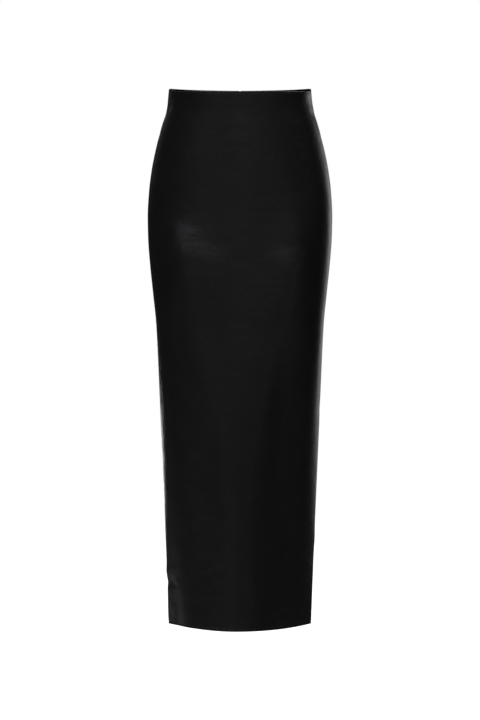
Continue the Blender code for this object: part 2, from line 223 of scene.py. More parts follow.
# Sum of the creases of one side, each faded at both ends: a bell is exp(-d^2), a ledge a
# smooth step up over one reach and then exp(-d^2) down.
def creaseLift(side, x, z):
    total = np.zeros_like(x)
    for row in creases:
        c = dict(zip(creaseColumns, row))
        if c["side"] != side:
            continue
        dx, dz = c["xEnd"] - c["xStart"], c["zEnd"] - c["zStart"]
        length = math.hypot(dx, dz)
        along = ((x - c["xStart"]) * dx + (z - c["zStart"]) * dz) / length ** 2
        away = ((x - c["xStart"]) * dz - (z - c["zStart"]) * dx) / length
        inside = np.clip(along, 0, 1)
        away = (away - 4 * c["bow"] * inside * (1 - inside)) / c["reach"]
        if c["shape"] == "bell":
            across = np.exp(-away ** 2)
        else:
            across = smoothStep(away, 0, 1) * np.exp(-(np.maximum(away - 1, 0) / creaseSettle) ** 2)
        ends = smoothStep(along, 0, c["fadeIn"]) * smoothStep(along, 1, 1 - c["fadeOut"])
        total += c["height"] * across * ends
    return total


# 0 at the top of the slit and 1 at the hem, even in height.
def slitDepth(z):
    return np.clip((form["slitTop"] - z) / (form["slitTop"] + form["length"]), 0, 1)


# Half the distance between the two back panels: the closed seam's, opened by a smooth step
# at the lips and by a power of the slit's depth.
def centreHalfGap(z):
    lips = 1 - smoothStep(-z, -form["lipsOpenBelow"], -form["lipsClosedBelow"])
    closed = form["seamGap"] / 2
    return (closed + (form["lipsHalfGap"] - closed) * lips
            + form["slitHalfGap"] * slitDepth(z) ** form["slitGapShape"])


# Sum of the puckers of a side seam: a bell along it, dying away across the panel.
def seamShift(half, t, z):
    total = np.zeros_like(z)
    for row in puckers:
        p = dict(zip(puckerColumns, row))
        mine = np.where(half == p["half"], 1.0, 0.0)
        total += mine * p["height"] * np.exp(-((z - p["z"]) / p["reach"]) ** 2)
    return total * np.exp(-((1 - np.abs(t)) / form["puckerAcross"]) ** 2)


# Point of a panel: an arc from seam to seam at height z, raised by folds and creases
# and moved inwards by inset. In front t is -1..1, behind 0..1 from centre to side.
def clothPoint(side, t, z, inset, half=1):
    angle = np.radians(sectionColumn(side + "Angle", z))
    halfWidth = sectionColumn("halfWidth", z) - inset / np.sin(math.pi / 4 + angle / 2)
    depth = sectionColumn(side + "Depth", z) - inset
    fullness = sectionColumn(side + "Fullness", z)
    x = half * halfWidth * np.sin(angle * t) / np.sin(angle)
    y = depth * arcRise(t, angle) ** fullness
    lift = (foldLift(side, x, z) + creaseLift(side, x, z)) * (1 - t ** form["seamCalm"])
    if side == "back":
        lift = lift + form["slitFlare"] * slitDepth(z) ** 2 * np.exp(-(x / form["slitFlareReach"]) ** 2)
    outX, outY = x / halfWidth ** 2, y / depth ** 2 + tiny
    size = np.hypot(outX, outY)
    outward = np.sign(x) if side == "front" else half
    x = x + lift * outX / size + outward * seamShift(outward, t, z)
    y = y + lift * outY / size + form["seamGap"] / 2
    if side == "front":
        return np.stack((x, -y, z), axis=-1)
    gap = centreHalfGap(z)
    x = x * (1 - gap / halfWidth) + half * gap
    return np.stack((x, y, z), axis=-1)


# How far the rows near the waist move down in front and up behind: the dip or rise times
# a power of an arc over the panel, fading to nothing below.
def edgeSlope(side, t, z):
    rise = arcRise(t, math.pi / 2)
    fade = smoothStep(z, -form["edgeFade"], 0)
    if side == "front":
        return -form["frontDip"] * rise ** form["frontDipShape"] * fade
    return form["backRise"] * rise ** form["backRiseShape"] * fade


# Panels: a wall of cloth with its waist, hem and slit edges turned in and its seams
# pressed open inside. Distances are from an edge, along the cloth.
panelCloth = {
    "wall": 0.0012,
    "layerGap": 0.0002,
    "waistTurn": 0.030,
    "hemTurn": 0.030,
    "seamAllowance": 0.012,
    "slitTurn": 0.024,
    "turnEdge": 0.0007,
    "slitSoft": 0.004,
    "zipFoot": -0.2150,
    "zipClear": 0.017,
    "zipClearEnds": (0.010, 0.006),
    "foldShare": 0.97,  # below 1 keeps the two faces apart at a free edge
    "seamRound": 0.0010,
    "seamPull": 0.00022,
    "seamPullReach": 0.0045,
    "edgeLine": 0.0034,
    "edgeLineReach": 0.0009,
    "edgeLineDepth": 0.00022,
    "hemLine": 0.0040,
    "hemLineReach": 0.0010,
    "hemLineDepth": 0.00020,
    "dartPlace": 0.272,
    "dartLength": 0.120,
    "dartDepth": 0.00040,
    "dartReach": 0.0011,
    "dartIntake": 0.011,
    "dartSmallest": 0.0008,  # below this the intake is flat
    "dartFadeFrom": 0.7,  # share of its length from which its line dies away
    "frontColumns": 112,
    "backColumns": 46,
    "rowStep": 0.0030,
}


# Distances below an edge at which rows lie: round the fold, by the sewn line, then past
# the raw edge of what is turned in. The last two are in millimetres.
def edgeRows():
    radius = panelCloth["wall"] + panelCloth["layerGap"] / 2
    fold = radius * (1 - np.sin(np.radians((90, 62, 38, 17))))
    near = np.array((1.35, 1.9, 2.4, 2.8, 3.1, 3.4, 3.7, 4.0, 4.4, 5.0, 6.0, 7.5, 9.5, 12, 15))
    turned = np.array((18, 21, 24, 27, 28.7, 29.4, 30.0, 30.6, 31.3, 33))
    return np.concatenate((fold, near / 1000, turned / 1000))


# Heights of a panel's rows from the waist to the hem, even between the two edges' rows.
def rowLevels():
    ends = edgeRows()
    count = int(round((form["length"] - 2 * ends[-1]) / panelCloth["rowStep"]))
    middle = np.linspace(ends[-1], form["length"] - ends[-1], count)[1:-1]
    return -np.concatenate((ends, middle, form["length"] - ends[::-1]))


# Places of a panel's columns in t: close together at the seams and at the back dart, even
# between them.
columnSpread = {
    "seam": (0, .0004, .0011, .0021, .0036, .0058, .009, .014, .021, .030),
    "centre": (0, .0004, .001, .0018, .0030, .0045, .0068, .010, .0135, .0155, .017, .0185,
               .020, .0215, .0235, .028),
    "dart": (-.012, -.008, -.005, -.003, -.0014, 0, .0014, .003, .005, .008, .012),
    "evenFromSeam": .040,
    "evenFromCentre": .038,
    "evenFromDart": .016,
}


# The even places run from one close set to the next.
def columnPlaces(side):
    c = columnSpread
    seam, last = np.array(c["seam"]), 1 - c["evenFromSeam"]
    if side == "front":
        middle = np.linspace(-last, last, panelCloth["frontColumns"])
        return np.concatenate((seam - 1, middle, 1 - seam[::-1]))
    dart = panelCloth["dartPlace"] + np.array(c["dart"])
    places = np.linspace(c["evenFromCentre"], last, panelCloth["backColumns"])
    places = places[np.abs(places - panelCloth["dartPlace"]) > c["evenFromDart"]]
    return np.sort(np.concatenate((c["centre"], dart, places, 1 - seam)))


# Depth of a rounded edge of radius r at distance d from it: nearly r - sqrt(r^2 - (r-d)^2).
def rounded(distance, radius):
    short = np.clip(radius - distance, 0, None)
    return panelCloth["foldShare"] * (radius - np.sqrt(np.maximum(radius ** 2 - short ** 2, 0)))


# 1 within width of an edge and 0 beyond it, with a short slope between.
def within(distance, width):
    soft = panelCloth["turnEdge"]
    return 1 - smoothStep(distance, width - soft, width + soft)


# Outer and inner points of a panel: the form's points, moved in by rounded edges, drawn-in
# seams, sewn lines and the dart, and again by the thickness. Thickness doubles where cloth
# is turned in and shows its leather side, and both faces meet in half a circle at a free edge.
def panelSurfaces(side, half):
    p = panelCloth
    level = rowLevels()
    t, z = np.meshgrid(columnPlaces(side), level)
    below, above = -z, z + form["length"]
    z = z + edgeSlope(side, t, z)
    flat = clothPoint(side, t, z, 0.0, half)
    run = np.linalg.norm(np.diff(flat, axis=1), axis=2)
    fromFirst = np.pad(np.cumsum(run, axis=1), ((0, 0), (1, 0)))
    toLast = fromFirst[:, -1:] - fromFirst
    sideSeam = np.minimum(fromFirst, toLast) if side == "front" else toLast
    turned = np.maximum(within(below, p["waistTurn"]), within(above, p["hemTurn"]))
    turned = np.maximum(turned, within(sideSeam, p["seamAllowance"]))
    freeEdge = np.zeros_like(z)
    centre = np.full_like(z, 1.0)
    if side == "back":
        centre = fromFirst
        inSlit = smoothStep(z, form["slitTop"] + p["slitSoft"], form["slitTop"] - p["slitSoft"])
        allowance = p["seamAllowance"] + (p["slitTurn"] - p["seamAllowance"]) * inSlit
        turned = np.maximum(turned, within(centre, allowance))
        clearFoot, clearTop = p["zipFoot"] - np.array(p["zipClearEnds"])
        byZip = within(centre, p["zipClear"]) * smoothStep(z, clearFoot, clearTop)
        turned = turned * (1 - byZip)
    leatherShows = turned > 0.5
    if side == "back":
        freeEdge = np.maximum(inSlit, smoothStep(z, form["lipsClosedBelow"], form["lipsOpenBelow"]))
        intake = p["dartIntake"] * np.clip(1 - below / p["dartLength"], 0, 1)
        fromDart = (p["dartPlace"] - t) * sectionColumn("halfWidth", z) * np.pi / 2
        inDart = smoothStep(fromDart, -p["turnEdge"], 0) * within(fromDart, intake)
        turned = turned + (1 - 0.5 * turned) * inDart * (intake > p["dartSmallest"])
    thickness = p["wall"] + turned * (p["wall"] + p["layerGap"])
    radius = (p["wall"] + np.minimum(turned, 1) * (p["wall"] + p["layerGap"])) / 2
    waistAndHem = np.maximum(rounded(below, radius), rounded(above, radius))
    lip = rounded(centre, radius) * freeEdge
    seam = np.maximum(rounded(sideSeam, p["seamRound"]), rounded(centre, p["seamRound"]) * (1 - freeEdge))
    pull = p["seamPull"] * (np.exp(-sideSeam / p["seamPullReach"])
                            + np.exp(-centre / p["seamPullReach"]) * (1 - freeEdge))
    lines = (p["edgeLineDepth"] * np.exp(-((below - p["edgeLine"]) / p["edgeLineReach"]) ** 2)
             + p["hemLineDepth"] * np.exp(-((above - p["hemLine"]) / p["hemLineReach"]) ** 2))
    if side == "back":
        dart = (p["dartDepth"] * np.exp(-np.abs(fromDart / p["dartReach"]))
                * smoothStep(below, p["dartLength"], p["dartFadeFrom"] * p["dartLength"]))
        slitLine = p["edgeLineDepth"] * np.exp(-((centre - p["edgeLine"]) / p["edgeLineReach"]) ** 2)
        lines = lines + dart + slitLine * inSlit
    freeFold = np.maximum(waistAndHem, lip)
    outer = clothPoint(side, t, z, np.maximum(freeFold, seam) + (pull + lines), half)
    inner = clothPoint(side, t, z, thickness - freeFold, half)
    across = (fromFirst - fromFirst[:, -1:] * (0.5 if side == "front" else 0.0)) * half
    return outer, inner, across, level[:, None] + np.zeros_like(z), leatherShows


# A smooth mesh of points and faces as an object of its own at the origin.
def meshPiece(name, points, faces, materials):
    mesh = bpy.data.meshes.new(name)
    mesh.from_pydata(points.tolist(), [], faces)
    for material in materials:
        mesh.materials.append(material)
    mesh.shade_smooth()
    mesh.update()
    piece = bpy.data.objects.new(name, mesh)
    bpy.context.scene.collection.objects.link(piece)
    return piece


# Closed wall between two grids of points: the outer grid, the inner one turned over, and a
# band round their border. Its inner faces take the second material, or the third where the
# cloth is turned in.
def wallPiece(name, outer, inner, materials, uv=None, turned=None):
    rows, columns = outer.shape[:2]
    count = rows * columns
    index = np.arange(count).reshape(rows, columns)
    corners = (index[:-1, :-1], index[1:, :-1], index[1:, 1:], index[:-1, 1:])
    skin = np.stack([corner.ravel() for corner in corners], axis=1)
    border = np.concatenate((index[0, :-1], index[:-1, -1], index[-1, :0:-1], index[:0:-1, 0]))
    after = np.roll(border, -1)
    edge = np.stack((border, after, after + count, border + count), axis=1)
    faces = np.concatenate((skin, skin[:, ::-1] + count, edge))
    points = np.concatenate((outer.reshape(-1, 3), inner.reshape(-1, 3)))
    firstNormal = np.cross(outer[-1, 0] - outer[0, 0], outer[0, 1] - outer[0, 0])
    outwards = outer[0, 0] - inner[0, 0] + outer[rows // 2, columns // 2] - inner[rows // 2, columns // 2]
    if np.dot(firstNormal, outwards) < 0:
        faces = faces[:, ::-1]
    piece = meshPiece(name, points, faces.tolist(), materials)
    mesh = piece.data
    if len(materials) > 1:
        slots = np.zeros(len(faces), dtype=np.int32)
        slots[len(skin):2 * len(skin)] = 1 + (turned[:-1, :-1] | turned[1:, 1:]).ravel()
        mesh.polygons.foreach_set("material_index", slots)
    if uv is not None:
        flat = np.concatenate([np.stack(uv, axis=-1).reshape(-1, 2)] * 2)
        layer = mesh.uv_layers.new(name="clothMetres")
        layer.data.foreach_set("uv", flat[faces.ravel()].astype(np.float32).ravel())
    mesh.update()
    return piece


# Finishes. A shader node group with its named inputs and outputs, and its two end nodes.
def newGroup(name, inputs, outputs):
    group = bpy.data.node_groups.new(name, "ShaderNodeTree")
    for label, kind, value in inputs:
        socket = group.interface.new_socket(label, in_out="INPUT", socket_type=kind)
        if value is not None:
            socket.default_value = value
    for label, kind in outputs:
        group.interface.new_socket(label, in_out="OUTPUT", socket_type=kind)
    return group, group.nodes.new("NodeGroupInput"), group.nodes.new("NodeGroupOutput")


# One math node on two values, each a number or another node's output.
def mathNode(tree, operation, first, second):
    node = tree.nodes.new("ShaderNodeMath")
    node.operation = operation
    for socket, value in zip(node.inputs, (first, second)):
        if isinstance(value, (int, float)):
            socket.default_value = value
        else:
            tree.links.new(value, socket)
    return node.outputs[0]


grainShape = {"smoothness": 0.6, "cellShare": 0.7, "poreShare": 0.6, "poreScale": 0.45, "poreDetail": 3.0,
              "patchScale": 22.0, "patchDetail": 4.0}


# Leather-look grain: small round cells plus larger pores make the height, and broad
# uneven patches are for the polish and the tone.
def leatherGrain():
    g = grainShape
    group, given, result = newGroup(
        "leatherGrain",
        (("Vector", "NodeSocketVector", None), ("Cells", "NodeSocketFloat", 900.0)),
        (("Height", "NodeSocketFloat"), ("Patches", "NodeSocketFloat")))
    cells = group.nodes.new("ShaderNodeTexVoronoi")
    cells.feature = "SMOOTH_F1"
    cells.inputs["Smoothness"].default_value = g["smoothness"]
    pores = group.nodes.new("ShaderNodeTexNoise")
    pores.inputs["Detail"].default_value = g["poreDetail"]
    patches = group.nodes.new("ShaderNodeTexNoise")
    patches.inputs["Scale"].default_value = g["patchScale"]
    patches.inputs["Detail"].default_value = g["patchDetail"]
    for node in (cells, pores, patches):
        group.links.new(given.outputs["Vector"], node.inputs["Vector"])
    group.links.new(given.outputs["Cells"], cells.inputs["Scale"])
    poreScale = mathNode(group, "MULTIPLY", given.outputs["Cells"], g["poreScale"])
    group.links.new(poreScale, pores.inputs["Scale"])
    roundCells = mathNode(group, "MULTIPLY", cells.outputs["Distance"], g["cellShare"])
    finePores = mathNode(group, "MULTIPLY", pores.outputs["Fac"], g["poreShare"])
    height = mathNode(group, "ADD", roundCells, finePores)
    group.links.new(height, result.inputs["Height"])
    group.links.new(patches.outputs["Fac"], result.inputs["Patches"])
    return group


# Crossing threads: half the mean of a sine in each direction of a UV map in metres, plus a
# half. The first direction may slant.
def wovenThreads():
    group, given, result = newGroup(
        "wovenThreads",
        (("Vector", "NodeSocketVector", None), ("Across", "NodeSocketFloat", 1800.0),
         ("Along", "NodeSocketFloat", 1800.0), ("Slant", "NodeSocketFloat", 0.0)),
        (("Height", "NodeSocketFloat"),))
    split = group.nodes.new("ShaderNodeSeparateXYZ")
    group.links.new(given.outputs["Vector"], split.inputs["Vector"])
    slanted = mathNode(group, "MULTIPLY", split.outputs["Y"], given.outputs["Slant"])
    sideways = mathNode(group, "ADD", split.outputs["X"], slanted)
    first = mathNode(group, "MULTIPLY", sideways, given.outputs["Across"])
    second = mathNode(group, "MULTIPLY", split.outputs["Y"], given.outputs["Along"])
    waves = [mathNode(group, "SINE", mathNode(group, "MULTIPLY", value, 2 * math.pi), 0.0)
             for value in (first, second)]
    height = mathNode(group, "MULTIPLY", mathNode(group, "ADD", *waves), 0.25)
    group.links.new(mathNode(group, "ADD", height, 0.5), result.inputs["Height"])
    return group


grain = leatherGrain()
threads = wovenThreads()


# A material with its shader, ready for a bump and other inputs.
def newMaterial(name, colour, roughness, metallic=0.0):
    material = bpy.data.materials.new(name)
    material.use_nodes = True
    tree = material.node_tree
    shader = tree.nodes["Principled BSDF"]
    shader.inputs["Base Color"].default_value = (*colour, 1.0)
    shader.inputs["Roughness"].default_value = roughness
    shader.inputs["Metallic"].default_value = metallic
    return material, tree, shader


# A bump of the given height in metres, over the one under it if there is one.
def addBump(tree, shader, height, distance, under=None):
    bump = tree.nodes.new("ShaderNodeBump")
    bump.inputs["Distance"].default_value = distance
    bump.inputs["Strength"].default_value = 1.0
    tree.links.new(height, bump.inputs["Height"])
    if under is not None:
        tree.links.new(under, bump.inputs["Normal"])
    tree.links.new(bump.outputs["Normal"], shader.inputs["Normal"])
    return bump.outputs["Normal"]


# The grain group on the object's own coordinates.
def placeGrain(tree, cells):
    place = tree.nodes.new("ShaderNodeTexCoord").outputs["Object"]
    fine = tree.nodes.new("ShaderNodeGroup")
    fine.node_tree = grain
    fine.inputs["Cells"].default_value = cells
    tree.links.new(place, fine.inputs["Vector"])
    return fine, place


# The thread group on the cloth's own map, with its values by name.
def placeThreads(tree, values):
    place = tree.nodes.new("ShaderNodeUVMap")
    place.uv_map = "clothMetres"
    weave = tree.nodes.new("ShaderNodeGroup")
    weave.node_tree = threads
    for label, value in values.items():
        weave.inputs[label].default_value = value
    tree.links.new(place.outputs["UV"], weave.inputs["Vector"])
    return weave


# Roughness between two values, by the grain's patches.
def addPolish(tree, shader, fine, roughness):
    polish = tree.nodes.new("ShaderNodeMapRange")
    polish.inputs["To Min"].default_value, polish.inputs["To Max"].default_value = roughness
    tree.links.new(fine.outputs["Patches"], polish.inputs["Value"])
    tree.links.new(polish.outputs["Result"], shader.inputs["Roughness"])


leatherFinish = {
    "colour": (0.0066, 0.0066, 0.0069),
    "paleColour": (0.0100, 0.0100, 0.0104),
    "roughness": (0.37, 0.43),
    "specular": 0.5,
    # the turned-in copy reflects far less, as painted shade on the inside of the edges
    "paintedShadeSpecular": 0.08,
    "cells": 900.0,
    "grainHeight": 0.00006,
    "waveScale": 44.0,
    "waveStretch": (0.8, 0.8, 1.2),
    "waveDetail": 2.0,
    "waveHeight": 0.0009,
}


# Smooth black leather look: grain over soft waves, and uneven tone and polish. Given a low specular, it makes
# a copy of the same leather with painted shade.
def leatherMaterial(name, specular):
    f = leatherFinish
    material, tree, shader = newMaterial(name, f["colour"], f["roughness"][0])
    shader.inputs["Specular IOR Level"].default_value = specular
    fine, place = placeGrain(tree, f["cells"])
    stretch = tree.nodes.new("ShaderNodeMapping")
    stretch.inputs["Scale"].default_value = f["waveStretch"]
    tree.links.new(place, stretch.inputs["Vector"])
    waves = tree.nodes.new("ShaderNodeTexNoise")
    waves.inputs["Scale"].default_value = f["waveScale"]
    waves.inputs["Detail"].default_value = f["waveDetail"]
    tree.links.new(stretch.outputs["Vector"], waves.inputs["Vector"])
    soft = addBump(tree, shader, waves.outputs["Fac"], f["waveHeight"])
    addBump(tree, shader, fine.outputs["Height"], f["grainHeight"], under=soft)
    tone = tree.nodes.new("ShaderNodeMix")
    tone.data_type = "RGBA"
    tone.inputs["A"].default_value = (*f["colour"], 1.0)
    tone.inputs["B"].default_value = (*f["paleColour"], 1.0)
    tree.links.new(fine.outputs["Patches"], tone.inputs["Factor"])
    tree.links.new(tone.outputs["Result"], shader.inputs["Base Color"])
    addPolish(tree, shader, fine, f["roughness"])
    return material


# Matt knit on the inside of the cloth, and the zip tapes' weave with slanting threads.
threadFinishes = {
    "knitBacking": {"colour": (0.016, 0.016, 0.017), "roughness": 0.92, "specular": 0.2, "height": 0.00012,
                    "threads": {"Across": 1100.0, "Along": 900.0}},
    "zipTapeWeave": {"colour": (0.009, 0.009, 0.010), "roughness": 0.80, "specular": 0.5, "height": 0.00010,
                     "threads": {"Across": 2200.0, "Along": 1500.0, "Slant": 0.6}},
}


# One colour and roughness, with the bump of crossing threads.
def threadMaterial(name):
    f = threadFinishes[name]
    material, tree, shader = newMaterial(name, f["colour"], f["roughness"])
    shader.inputs["Specular IOR Level"].default_value = f["specular"]
    weave = placeThreads(tree, f["threads"])
    addBump(tree, shader, weave.outputs["Height"], f["height"])
    return material


# Grained finishes of the small parts.
smallFinishes = {
    "thread": {"colour": (0.011, 0.011, 0.012), "roughness": (0.55, 0.75), "metal": 0.0, "coat": 0.0,
               "cells": 3200.0, "height": 0.00006},
    "nylon": {"colour": (0.010, 0.010, 0.011), "roughness": (0.30, 0.42), "metal": 0.0, "coat": 0.0,
              "cells": 1500.0, "height": 0.00001},
    "enamel": {"colour": (0.014, 0.014, 0.015), "roughness": (0.24, 0.36), "metal": 0.3, "coat": 0.5,
               "cells": 700.0, "height": 0.00001},
}


# One colour, with the grain's bump and an uneven polish.
def smallMaterial(name):
    f = smallFinishes[name]
    material, tree, shader = newMaterial(name, f["colour"], f["roughness"][0], f["metal"])
    shader.inputs["Coat Weight"].default_value = f["coat"]
    fine = placeGrain(tree, f["cells"])[0]
    addBump(tree, shader, fine.outputs["Height"], f["height"])
    addPolish(tree, shader, fine, f["roughness"])
    return material


# The turned-in copy is the same leather with its reflection turned far down: painted shade.
leather = leatherMaterial("blackLeatherLook", leatherFinish["specular"])
shadedTurnedLeather = leatherMaterial("turnedInLeatherPaintedShade", leatherFinish["paintedShadeSpecular"])
backing = threadMaterial("knitBacking")
tapeCloth = threadMaterial("zipTapeWeave")
thread = smallMaterial("thread")
nylon = smallMaterial("nylon")
enamel = smallMaterial("enamel")
print("finishes made")


# Closed round tubes, one for each row of paths: circles of the given radii across it and a
# point at each end. The ups tell which way each circle starts.
def tubes(name, paths, ups, radii, sides, material):
    along = np.gradient(paths, axis=1)
    along /= np.linalg.norm(along, axis=2, keepdims=True)
    first = np.cross(along, ups)
    first /= np.linalg.norm(first, axis=2, keepdims=True)
    second = np.cross(first, along)
    turn = np.linspace(0, 2 * math.pi, sides, endpoint=False)[:, None]
    ring = np.cos(turn) * first[:, 1:-1, None] + np.sin(turn) * second[:, 1:-1, None]
    rings = paths[:, 1:-1, None] + radii[1:-1, None, None] * ring
    count, stations = rings.shape[:2]
    points = np.concatenate((rings.reshape(count, -1, 3), paths[:, :1], paths[:, -1:]), axis=1)
    start = (np.arange(count) * points.shape[1])[:, None, None]
    index = np.arange(stations * sides).reshape(stations, sides)
    turned = np.roll(index, -1, axis=1)
    tip, end = np.full(sides, index.size), np.full(sides, index.size + 1)
    quads = np.stack((index[:-1], index[1:], turned[1:], turned[:-1]), axis=-1).reshape(-1, 4)
    caps = np.concatenate((np.stack((tip, index[0], turned[0]), axis=-1),
                           np.stack((end, turned[-1], index[-1]), axis=-1)))
    faces = (quads + start).reshape(-1, 4).tolist() + (caps + start).reshape(-1, 3).tolist()
    return meshPiece(name, points.reshape(-1, 3), faces, (material,))


# Sewing. A row of stitches runs evenly from start to end in t and in the distance below
# the waist edge, which dips and rises round the waist.
stitching = {
    "pitch": 0.0034,
    "length": 0.0029,
    "radius": 0.00021,
    "sides": 6,
    "sink": 0.00022,
    "rise": 0.00004,
    "upStep": 0.001,
    "lineSteps": 400,
}
stitchStations = np.array((-1.0, -0.96, -0.82, -0.45, 0.0, 0.45, 0.82, 0.96, 1.0))
stitchRadii = stitching["radius"] * np.array((0.0, 0.55, 0.9, 1.0, 1.0, 1.0, 0.9, 0.55, 0.0))


# Each stitch is a short thread along the line, which sinks into the cloth at both ends as
# the fourth power of the way from its middle.
def stitchRow(name, side, half, tEnds, belowEnds, inset, outward=1, dips=True):
    s = stitching
    share = np.linspace(0, 1, s["lineSteps"])
    t, below = np.interp(share, (0, 1), tEnds), np.interp(share, (0, 1), belowEnds)
    line = clothPoint(side, t, (edgeSlope(side, t, -below) if dips else 0) - below, inset, half)
    run = np.concatenate(((0,), np.cumsum(np.linalg.norm(np.diff(line, axis=0), axis=1))))
    count = int(run[-1] / s["pitch"])
    middle = (np.arange(count) + 0.5) * run[-1] / count
    share = np.interp(middle[:, None] + stitchStations * s["length"] / 2, run, share)
    t, below = np.interp(share, (0, 1), tEnds), np.interp(share, (0, 1), belowEnds)
    z = (edgeSlope(side, t, -below) if dips else 0) - below
    lift = (s["rise"] + s["sink"]) * (1 - stitchStations ** 4) - s["sink"]
    paths = clothPoint(side, t, z, inset - outward * lift, half)
    ups = clothPoint(side, t, z, inset - outward * (lift + s["upStep"]), half) - paths
    piece = tubes(name, paths, ups, stitchRadii, s["sides"], thread)
    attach(piece, "skirt")
    return piece


# Panels: piece, CAD node, side, half, slot, and the width and length of its cut without
# what is turned in.
panelPieces = (
    ("frontCloth", "front_panel", "front", 1, "front_cloth", (0.440, 0.946)),
    ("backLeftCloth", "back_panel_left", "back", 1, "back_cloth", (0.232, 0.955)),
    ("backRightCloth", "back_panel_right", "back", -1, "back_cloth", (0.232, 0.955)),
)

# Where the sewing lies: in t from the centre back or the centre front, then distances from
# the slit's top and from the hem.
sewnPlaces = {
    "byCentre": 0.040,
    "bySide": 0.985,
    "bySlit": 0.0185,
    "tackEnd": 0.0015,
    "belowSlitTop": 0.006,
    "aboveHem": 0.008,
    "tackRise": (0.003, 0.012),
}
waistRow = (panelCloth["edgeLine"],) * 2
hemRow = (form["length"] - panelCloth["hemLine"],) * 2
slitRow = (-form["slitTop"] + sewnPlaces["belowSlitTop"], form["length"] - sewnPlaces["aboveHem"])
tackRow = tuple(slitRow[0] - rise for rise in sewnPlaces["tackRise"])
frontEnds = (-sewnPlaces["bySide"], sewnPlaces["bySide"])
backEnds = (sewnPlaces["byCentre"], sewnPlaces["bySide"])
slitEnds = (sewnPlaces["bySlit"],) * 2
tackEnds = (sewnPlaces["bySlit"], sewnPlaces["tackEnd"])

# Sewing that shows: part, side, its ends in t and below the waist edge, and the depth
# of the groove that it lies in.
sewnRows = (
    ("WaistStitches", "front", frontEnds, waistRow, panelCloth["edgeLineDepth"]),
    ("HemStitches", "front", frontEnds, hemRow, panelCloth["hemLineDepth"]),
    ("WaistStitches", "back", backEnds, waistRow, panelCloth["edgeLineDepth"]),
    ("HemStitches", "back", backEnds, hemRow, panelCloth["hemLineDepth"]),
    ("SlitStitches", "back", slitEnds, slitRow, panelCloth["edgeLineDepth"]),
    ("SlitTack", "back", tackEnds, tackRow, 0.0),
)

for name, node, side, half, slotName, cut in panelPieces:
    outer, inner, across, along, turned = panelSurfaces(side, half)
    # Turned-in leather on the inside takes the copy with painted shade.
    piece = wallPiece(name, outer, inner, (leather, backing, shadedTurnedLeather), (across, along), turned)
    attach(piece, "skirt")
    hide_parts(node)
    sewn = [stitchRow(name + part, side, half, tEnds, belowEnds, depth)
            for part, rowSide, tEnds, belowEnds, depth in sewnRows if rowSide == side]


# Zip: two woven tapes, each sewn inside a back panel beside the seam.
zipTape = {
    "top": 0.0060,
    "width": 0.0120,
    "thickness": 0.0008,
    "offPanel": 0.0005,
    "offLip": 0.0006,
    "rows": 90,
    "columns": 13,
    "edgeShare": 0.55,
    "edgeShape": 0.4,
    "stitchPlace": 0.62,
    "stitchOffTop": 0.002,
    "stitchOffFoot": 0.003,
}
tapeFace = panelCloth["wall"] + zipTape["offPanel"] + zipTape["thickness"]


# A tape's two edges in t: the arc sine of each distance from the seam over the half width.
def tapeSpan():
    c = zipTape
    halfWidth = sectionColumn("halfWidth", panelCloth["zipFoot"])
    return np.arcsin(np.array((c["offLip"], c["offLip"] + c["width"])) / halfWidth) * 2 / math.pi


# A wall on the back panel's form, inside it, whose thickness bulges as a sine across it.
def tapePiece(name, half):
    c = zipTape
    share = np.linspace(0, 1, c["columns"])
    level = np.linspace(c["top"], panelCloth["zipFoot"], c["rows"])
    t, z = np.meshgrid(np.interp(share, (0, 1), tapeSpan()), level)
    bulge = np.sin(math.pi * share) ** c["edgeShape"]
    thick = c["thickness"] * (c["edgeShare"] + (1 - c["edgeShare"]) * bulge)
    near = tapeFace - c["thickness"]
    outer = clothPoint("back", t, z, near, half)
    inner = clothPoint("back", t, z, near + thick, half)
    across, along = np.meshgrid(share * c["width"], level)
    return wallPiece(name, outer, inner, (tapeCloth,), uv=(across, along))


# Coils: a helix on each tape, half a turn apart so that they mesh below the slider.
coil = {
    "pitch": 0.0015,
    "halfWidth": 0.0012,
    "halfDepth": 0.0007,
    "radius": 0.00033,
    "offSeam": 0.00085,
    "stepsPerTurn": 12,
    "sides": 6,
    "tipShare": 0.7,
    "top": 0.0042,
    "aboveSlider": -0.0016,
    "belowSlider": -0.0126,
    "offFoot": 0.0035,
}


# An oval helix beside the seam: cosine across and sine in depth, a turn for each pitch.
def coilPath(half, top, foot):
    c = coil
    steps = int((top - foot) / c["pitch"] * c["stepsPerTurn"])
    z = np.linspace(top, foot, steps)
    turn = (top - z) / c["pitch"] * 2 * math.pi + (math.pi if half < 0 else 0.0)
    depth = tapeFace + c["halfDepth"] + c["radius"]
    middle = clothPoint("back", np.full_like(z, tapeSpan()[0]), z, depth, half)
    x = half * (c["offSeam"] + centreHalfGap(z) - form["seamGap"] / 2) + c["halfWidth"] * np.cos(turn)
    y = middle[:, 1] + c["halfDepth"] * np.sin(turn)
    return np.stack((x, y, z), axis=-1)


for sideName, half in (("Left", 1), ("Right", -1)):
    tape = tapePiece("zipTape" + sideName, half)
    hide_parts("zip_tape_" + sideName.lower())
    place = float(np.interp(zipTape["stitchPlace"], (0, 1), tapeSpan()))
    ends = (zipTape["stitchOffTop"] - zipTape["top"], -panelCloth["zipFoot"] - zipTape["stitchOffFoot"])
    sewn = stitchRow("zipStitch" + sideName, "back", half, (place, place), ends, tapeFace, -1, dips=False)
    for part, top, foot in (("Top", coil["top"], coil["aboveSlider"]),
                            ("", coil["belowSlider"], panelCloth["zipFoot"] + coil["offFoot"])):
        path = coilPath(half, top, foot)
        radii = np.full(len(path), coil["radius"])
        radii[[0, -1]], radii[[1, -2]] = 0.0, coil["tipShare"] * coil["radius"]
        up = np.tile((0.0, 0.0, 1.0), (1, len(path), 1))
        teeth = tubes("zipCoil" + part + sideName, path[None], up, radii, coil["sides"], nylon)
        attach(teeth, "skirt")
    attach(tape, "skirt")


